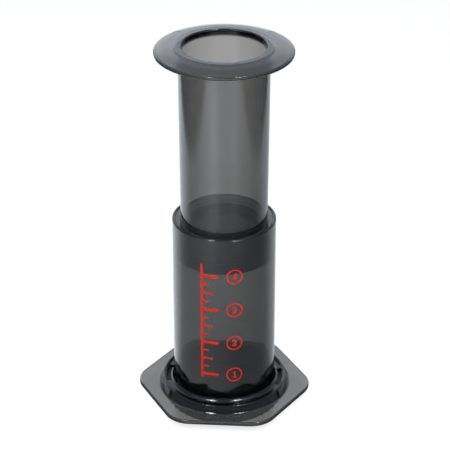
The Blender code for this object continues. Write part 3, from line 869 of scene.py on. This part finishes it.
def make_marks(finish):
    """The circled numbers, lowest first."""
    bm = bmesh.new()
    for height, figure in zip(MARK_HEIGHTS, digit_faces()):
        add_printed(bm, ring_face(), MARK_TURN, height)
        add_printed(bm, figure, MARK_TURN, height)
    marks = shown("volume_marks", mesh_of("volume_marks", bm), finish)
    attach(marks, "chamber")


def make_scale(finish):
    """A plain tick scale: a long tick at each circled number and three shorter ones between two."""
    left = -SCALE_WIDTH / 2
    bm = bmesh.new()
    add_printed(bm, bar_face(left, left + SCALE_SPINE, SCALE_BASE, SCALE_TOP), SCALE_TURN, 0)
    parts = len(SCALE_STROKES)
    for index, height in enumerate(MARK_HEIGHTS):
        following = MARK_HEIGHTS[min(index + 1, len(MARK_HEIGHTS) - 1)]
        for part in range(parts if following > height else 1):
            middle = height + (following - height) * part / parts
            half = SCALE_STROKES[part] / 2
            right = left + SCALE_WIDTH * SCALE_LENGTH_SHARES[part]
            start = left + SCALE_SPINE
            add_printed(bm, bar_face(start, right, middle - half, middle + half), SCALE_TURN, 0)
    scale = shown("measuring_scale", mesh_of("measuring_scale", bm), finish)
    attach(scale, "chamber")


# Materials

def new_material(name):
    """A material with its node tree and its Principled shader."""
    made = bpy.data.materials.new(name)
    made.use_nodes = True
    return made, made.node_tree, made.node_tree.nodes["Principled BSDF"]


def noise(tree, scale, detail, stretch=(1, 1, 1)):
    """A noise over the object's own coordinates."""
    coordinates = tree.nodes.new("ShaderNodeTexCoord")
    mapping = tree.nodes.new("ShaderNodeMapping")
    mapping.inputs["Scale"].default_value = stretch
    texture = tree.nodes.new("ShaderNodeTexNoise")
    texture.inputs["Scale"].default_value = scale
    texture.inputs["Detail"].default_value = detail
    tree.links.new(coordinates.outputs["Object"], mapping.inputs["Vector"])
    tree.links.new(mapping.outputs["Vector"], texture.inputs["Vector"])
    return texture.outputs["Fac"]


def ranged(tree, source, levels):
    """The noise's middle range turned into two levels."""
    span = tree.nodes.new("ShaderNodeMapRange")
    for name, level in zip(RANGE_SOCKETS, NOISE_RANGE + levels):
        span.inputs[name].default_value = level
    tree.links.new(source, span.inputs["Value"])
    return span.outputs["Result"]


def blended(tree, source, colours):
    """A colour between two, by the noise's middle range."""
    ramp = tree.nodes.new("ShaderNodeValToRGB")
    for element, position, colour in zip(ramp.color_ramp.elements, NOISE_RANGE, colours):
        element.position = position
        element.color = (*colour, 1)
    tree.links.new(source, ramp.inputs["Fac"])
    return ramp.outputs["Color"]


def bumped(tree, shader, source, relief):
    """Adds the noise as relief (height, strength)."""
    bump = tree.nodes.new("ShaderNodeBump")
    bump.inputs["Distance"].default_value, bump.inputs["Strength"].default_value = relief
    tree.links.new(source, bump.inputs["Height"])
    tree.links.new(bump.outputs["Normal"], shader.inputs["Normal"])


def smoky_plastic(name, density, core_level, satin_radius, satin_share, underside=None):
    """Clear plastic that darkens what is seen through it.

    Its surface lets through the core level inside the radius, and past it is partly satin. The
    underside (height, fall) is a line that falls outwards from the radius, frosted below it.
    """
    made, tree, shader = new_material(name)
    flow = noise(tree, *PLASTIC_FLOW)
    polish = noise(tree, *PLASTIC_POLISH)
    shader.inputs["IOR"].default_value = PLASTIC_IOR
    shader.inputs["Transmission Weight"].default_value = 1.0
    place = tree.nodes.new("ShaderNodeTexCoord").outputs["Object"]
    reach = reach_of(tree, place)
    rim = (satin_radius, satin_radius + SATIN_BLEND)
    core = spanned(tree, reach, rim, (core_level, 1))
    passed = times(tree, ranged(tree, flow, PLASTIC_CLEARNESS), core)
    tree.links.new(passed, shader.inputs["Base Color"])
    roughness = ranged(tree, polish, PLASTIC_ROUGHNESS)
    if underside:
        height, fall = underside
        _, _, up = parted(tree, place)
        drop = times(tree, less(tree, reach, satin_radius), fall)
        below = less(tree, less(tree, height, drop), up)
        frost = spanned(tree, below, (0, FROST_BLEND), (0, FROST_ROUGHNESS))
        frost = times(tree, frost, spanned(tree, reach, rim, (0, 1)))
        roughness = worked(tree, "ADD", roughness, frost)
    tree.links.new(roughness, shader.inputs["Roughness"])
    bumped(tree, shader, flow, PLASTIC_RELIEF)
    haze = tree.nodes.new("ShaderNodeBsdfDiffuse")
    haze.inputs["Color"].default_value = (*SATIN_COLOUR, 1)
    output = tree.nodes["Material Output"]
    share = spanned(tree, reach, rim, (0, satin_share))
    tree.links.new(mixed(tree, share, shader.outputs[0], haze.outputs[0]), output.inputs["Surface"])
    absorption = tree.nodes.new("ShaderNodeVolumeAbsorption")
    absorption.inputs["Color"].default_value = (*SMOKE_COLOUR, 1)
    absorption.inputs["Density"].default_value = density
    tree.links.new(absorption.outputs["Volume"], output.inputs["Volume"])
    return made


def rubber():
    """Black rubber with a dull, slightly worn skin."""
    made, tree, shader = new_material("black_rubber_skin")
    wear = noise(tree, *RUBBER_WEAR)
    shader.inputs["IOR"].default_value = RUBBER_IOR
    tree.links.new(blended(tree, wear, RUBBER_COLOURS), shader.inputs["Base Color"])
    tree.links.new(ranged(tree, wear, RUBBER_ROUGHNESS), shader.inputs["Roughness"])
    bumped(tree, shader, noise(tree, *RUBBER_GRAIN), RUBBER_RELIEF)
    return made


def cap_plastic():
    """Black moulded plastic with a fine spark-eroded texture."""
    made, tree, shader = new_material("black_cap_plastic")
    patches = noise(tree, *CAP_PATCHES)
    shader.inputs["Specular IOR Level"].default_value = CAP_SPECULAR
    tree.links.new(blended(tree, patches, CAP_COLOURS), shader.inputs["Base Color"])
    tree.links.new(ranged(tree, patches, CAP_ROUGHNESS), shader.inputs["Roughness"])
    bumped(tree, shader, noise(tree, *CAP_GRAIN), CAP_RELIEF)
    return made


def filter_paper():
    """Unglazed white paper with fibres."""
    made, tree, shader = new_material("white_filter_paper")
    shader.inputs["Roughness"].default_value = PAPER_ROUGHNESS
    tree.links.new(blended(tree, noise(tree, *PAPER_CLOUDS), PAPER_COLOURS), shader.inputs["Base Color"])
    bumped(tree, shader, noise(tree, *PAPER_FIBRES), PAPER_RELIEF)
    return made


def red_ink():
    """Printed ink, a little uneven in cover."""
    made, tree, shader = new_material("red_ink")
    cover = noise(tree, *INK_COVER)
    shader.inputs["Specular IOR Level"].default_value = INK_SPECULAR
    tree.links.new(blended(tree, cover, INK_COLOURS), shader.inputs["Base Color"])
    tree.links.new(ranged(tree, cover, INK_ROUGHNESS), shader.inputs["Roughness"])
    bumped(tree, shader, cover, INK_RELIEF)
    return made


# Values in node trees

def worked(tree, operation, first, second=None):
    """The result of an operation on one or two values, each a socket or a number."""
    node = tree.nodes.new("ShaderNodeMath")
    node.operation = operation
    for socket, value in zip(node.inputs, (first, second)):
        if isinstance(value, bpy.types.NodeSocket):
            tree.links.new(value, socket)
        elif value is not None:
            socket.default_value = value
    return node.outputs[0]


def times(tree, first, second):
    """The first value times the second."""
    return worked(tree, "MULTIPLY", first, second)


def less(tree, first, second):
    """The first value less the second."""
    return worked(tree, "SUBTRACT", first, second)


def spanned(tree, value, source, target):
    """The value led smoothly from the source range to the target range."""
    span = tree.nodes.new("ShaderNodeMapRange")
    span.interpolation_type = "SMOOTHSTEP"
    for name, level in zip(RANGE_SOCKETS, source + target):
        span.inputs[name].default_value = level
    tree.links.new(value, span.inputs["Value"])
    return span.outputs["Result"]


def risen(tree, value, degrees):
    """1 where the angle is past two given ones, and 0 before them."""
    return spanned(tree, value, tuple(math.radians(angle) for angle in degrees), (0, 1))


def band(tree, value, degrees):
    """1 where the angle lies between the middle two of four given ones, and 0 outside all four."""
    fall = less(tree, 1.0, risen(tree, value, degrees[2:]))
    return times(tree, risen(tree, value, degrees[:2]), fall)


def ramped(tree, value, stops):
    """A grey level read from stops (position, level)."""
    ramp = tree.nodes.new("ShaderNodeValToRGB")
    elements = ramp.color_ramp.elements
    while len(elements) < len(stops):
        elements.new(1)
    for element, (position, level) in zip(elements, stops):
        element.position = position
        element.color = (level, level, level, 1)
    tree.links.new(value, ramp.inputs["Fac"])
    return ramp.outputs["Color"]


def mixed(tree, share, first, second):
    """Two shaders mixed by the share."""
    mix = tree.nodes.new("ShaderNodeMixShader")
    tree.links.new(share, mix.inputs["Fac"])
    tree.links.new(first, mix.inputs[1])
    tree.links.new(second, mix.inputs[2])
    return mix.outputs[0]


def parted(tree, vector):
    """The three parts of the vector."""
    parts = tree.nodes.new("ShaderNodeSeparateXYZ")
    tree.links.new(vector, parts.inputs["Vector"])
    return tuple(parts.outputs)


def reach_of(tree, vector):
    """How far the place lies from the Z axis."""
    flat = tree.nodes.new("ShaderNodeVectorMath")
    flat.operation = "MULTIPLY"
    flat.inputs[1].default_value = (1, 1, 0)
    tree.links.new(vector, flat.inputs[0])
    reach = tree.nodes.new("ShaderNodeVectorMath")
    reach.operation = "LENGTH"
    tree.links.new(flat.outputs["Vector"], reach.inputs[0])
    return reach.outputs["Value"]


def turned_to_camera(tree, vector):
    """The vector with the camera's side of the press at -Y."""
    turn = tree.nodes.new("ShaderNodeVectorRotate")
    turn.rotation_type = "Z_AXIS"
    turn.inputs["Angle"].default_value = -math.radians(CAMERA_TURN)
    tree.links.new(vector, turn.inputs["Vector"])
    return turn.outputs["Vector"]


def ray_kinds(tree):
    """1 for rays that see the white surroundings, and 1 for rays that a surface has mirrored."""
    path = tree.nodes.new("ShaderNodeLightPath")
    seen = worked(tree, "MAXIMUM", path.outputs["Is Camera Ray"], path.outputs["Is Transmission Ray"])
    fresh = worked(tree, "LESS_THAN", path.outputs["Diffuse Depth"], 0.5)
    straight = worked(tree, "LESS_THAN", path.outputs["Glossy Depth"], 0.5)
    direct = times(tree, seen, times(tree, fresh, straight))
    return direct, times(tree, fresh, less(tree, 1.0, straight))


# Studio

def sky_reflection(tree):
    """How bright each direction is in reflections: sky behind, room, two patches and the sides."""
    direction = turned_to_camera(tree, tree.nodes.new("ShaderNodeTexCoord").outputs["Generated"])
    across, back, up = parted(tree, direction)
    height = worked(tree, "ARCSINE", up)
    turn = worked(tree, "ARCTAN2", worked(tree, "ABSOLUTE", across), times(tree, back, -1.0))
    sky = times(tree, ramped(tree, worked(tree, "DIVIDE", height, math.pi / 2), SKY_BEHIND), SKY_LEVEL)
    sky = times(tree, sky, spanned(tree, across, SKY_LEAN_SPAN, SKY_LEAN))
    behind = times(tree, risen(tree, turn, SKY_TURNS), spanned(tree, back, SKY_BACK_SPAN, (0, 1)))
    room = times(tree, less(tree, 1.0, behind), ROOM_LEVEL)
    patch = times(tree, band(tree, turn, PATCH_TURNS), band(tree, height, PATCH_HEIGHTS))
    side = times(tree, risen(tree, turn, SIDE_TURNS), risen(tree, height, SIDE_HEIGHTS))
    side = times(tree, side, spanned(tree, back, SIDE_BACK_SPAN, (SIDE_LEVEL, 0)))
    light = worked(tree, "ADD", times(tree, sky, behind), room)
    light = worked(tree, "ADD", light, times(tree, patch, PATCH_LEVEL))
    return worked(tree, "ADD", light, side)


def make_world():
    """White surroundings with a soft fill, and their own light in reflections."""
    world = bpy.data.worlds.new("studio")
    bpy.context.scene.world = world
    world.use_nodes = True
    tree = world.node_tree
    tree.nodes.clear()
    seen, mirrored = ray_kinds(tree)
    reflected = tree.nodes.new("ShaderNodeBackground")
    reflected.inputs["Color"].default_value = (*SKY_TINT, 1)
    tree.links.new(sky_reflection(tree), reflected.inputs["Strength"])
    fill = tree.nodes.new("ShaderNodeBackground")
    fill.inputs["Strength"].default_value = FILL_LEVEL
    white = tree.nodes.new("ShaderNodeBackground")
    lit = mixed(tree, seen, fill.outputs[0], white.outputs[0])
    output = tree.nodes.new("ShaderNodeOutputWorld")
    tree.links.new(mixed(tree, mirrored, lit, reflected.outputs[0]), output.inputs["Surface"])


def table_reflection(tree):
    """How bright each place of the table is in reflections, with painted shade round where the press
    stands.
    """
    place = turned_to_camera(tree, tree.nodes.new("ShaderNodeNewGeometry").outputs["Position"])
    across, back, _ = parted(tree, place)
    reach = reach_of(tree, place)
    facing = times(tree, less(tree, 1.0, worked(tree, "DIVIDE", back, reach)), 0.5)
    near = ramped(tree, facing, TABLE_NEAR_LIGHT)
    far = ramped(tree, facing, TABLE_FAR_LIGHT)
    share = spanned(tree, reach, (TABLE_NEAR, TABLE_FAR), (0, 1))
    light = worked(tree, "ADD", near, times(tree, less(tree, far, near), share))
    light = times(tree, light, TABLE_LEVEL)
    edge = (TABLE_HALF_WIDTH - TABLE_EDGE_SOFTNESS, TABLE_HALF_WIDTH + TABLE_EDGE_SOFTNESS)
    aside = worked(tree, "ABSOLUTE", across)
    light = times(tree, light, spanned(tree, aside, edge, (1, TABLE_ROOM_SHARE)))
    sideways = worked(tree, "DIVIDE", across, reach)
    light = times(tree, light, spanned(tree, sideways, TABLE_LEAN_SPAN, TABLE_LEAN))
    # Painted shade: the reflected table is dark out to the limit round the press
    past = less(tree, reach, ramped(tree, facing, PRESS_SHADE_LIMIT))
    return times(tree, light, spanned(tree, past, (-PRESS_SHADE_SOFTNESS, PRESS_SHADE_SOFTNESS), (0, 1)))


def floor_material():
    """White table that keeps a soft shadow."""
    made = bpy.data.materials.new("white_table")
    made.use_nodes = True
    tree = made.node_tree
    tree.nodes.clear()
    seen, mirrored = ray_kinds(tree)
    reflected = tree.nodes.new("ShaderNodeEmission")
    reflected.inputs["Color"].default_value = (*TABLE_TINT, 1)
    tree.links.new(table_reflection(tree), reflected.inputs["Strength"])
    diffuse = tree.nodes.new("ShaderNodeBsdfDiffuse")
    diffuse.inputs["Color"].default_value = (*TABLE_COLOUR, 1)
    glow = tree.nodes.new("ShaderNodeEmission")
    tree.links.new(times(tree, seen, TABLE_GLOW), glow.inputs["Strength"])
    table = tree.nodes.new("ShaderNodeAddShader")
    tree.links.new(diffuse.outputs[0], table.inputs[0])
    tree.links.new(glow.outputs[0], table.inputs[1])
    output = tree.nodes.new("ShaderNodeOutputMaterial")
    surface = mixed(tree, mirrored, table.outputs[0], reflected.outputs[0])
    tree.links.new(surface, output.inputs["Surface"])
    return made


def make_floor():
    """A wide flat table."""
    bm = bmesh.new()
    bmesh.ops.create_grid(bm, x_segments=1, y_segments=1, size=FLOOR_SIZE / 2)
    mesh = bpy.data.meshes.new("table_top")
    bm.to_mesh(mesh)
    bm.free()
    floor = bpy.data.objects.new("table_top", mesh)
    mesh.materials.append(floor_material())
    bpy.context.scene.collection.objects.link(floor)


def around(turn, distance, height):
    """A place at this distance from the press, turned from the camera's side."""
    flat = on_circle(distance, math.radians(CAMERA_TURN + turn - 90))
    return Vector((flat.x, flat.y, height))


def make_softboxes():
    """Two soft lamps above and to both sides of the camera."""
    aim = Vector((0, 0, CHAMBER_HIGH.z))
    level = SOFTBOX_DISTANCE * math.cos(math.radians(SOFTBOX_ELEVATION))
    height = aim.z + SOFTBOX_DISTANCE * math.sin(math.radians(SOFTBOX_ELEVATION))
    for turn in SOFTBOX_TURNS:
        lamp = bpy.data.lights.new("softbox", "AREA")
        lamp.shape = "RECTANGLE"
        lamp.size = SOFTBOX_WIDTH
        lamp.size_y = SOFTBOX_HEIGHT
        lamp.energy = SOFTBOX_POWER
        lamp.color = SOFTBOX_TINT
        holder = bpy.data.objects.new("softbox", lamp)
        bpy.context.scene.collection.objects.link(holder)
        holder.location = around(turn, level, height)
        holder.rotation_euler = (holder.location - aim).to_track_quat("Z", "Y").to_euler()
        holder.visible_camera = False
        holder.visible_transmission = False
        holder.visible_glossy = False


def make_camera():
    """The camera at the photo's viewing angle."""
    lens = bpy.data.cameras.new("camera")
    lens.lens = CAMERA_LENS
    camera = bpy.data.objects.new("camera", lens)
    bpy.context.scene.collection.objects.link(camera)
    camera.location = around(0, CAMERA_DISTANCE, CAMERA_HEIGHT) + around(90, CAMERA_ASIDE, 0)
    camera.rotation_euler = (math.radians(90 - CAMERA_PITCH), 0, math.radians(CAMERA_TURN))
    bpy.context.scene.camera = camera


def make_studio():
    """Camera, lamps, table and surroundings."""
    make_camera()
    make_softboxes()
    make_floor()
    make_world()
    scene = bpy.context.scene
    scene.view_settings.view_transform = "Standard"
    scene.cycles.max_bounces = MOST_BOUNCES
    scene.cycles.transmission_bounces = MOST_BOUNCES
    scene.cycles.glossy_bounces = GLOSSY_BOUNCES


make_studio()
make_chamber(smoky_plastic("smoky_chamber", CHAMBER_DENSITY, CHAMBER_CORE_LEVEL,
                           COLLAR_RADIUS + COLLAR_SPREAD, CHAMBER_SATIN_SHARE))
make_plunger(smoky_plastic("smoky_plunger", PLUNGER_DENSITY, PLUNGER_CORE_LEVEL,
                           TUBE_TOP_RADIUS, PLUNGER_SATIN_SHARE,
                           (PLUNGER_HIGH.z - BRIM_MIDDLE_DROP, BRIM_MIDDLE_FALL)))
make_seal(rubber())
make_cap(cap_plastic())
make_paper(filter_paper())
ink = red_ink()
make_marks(ink)
make_scale(ink)
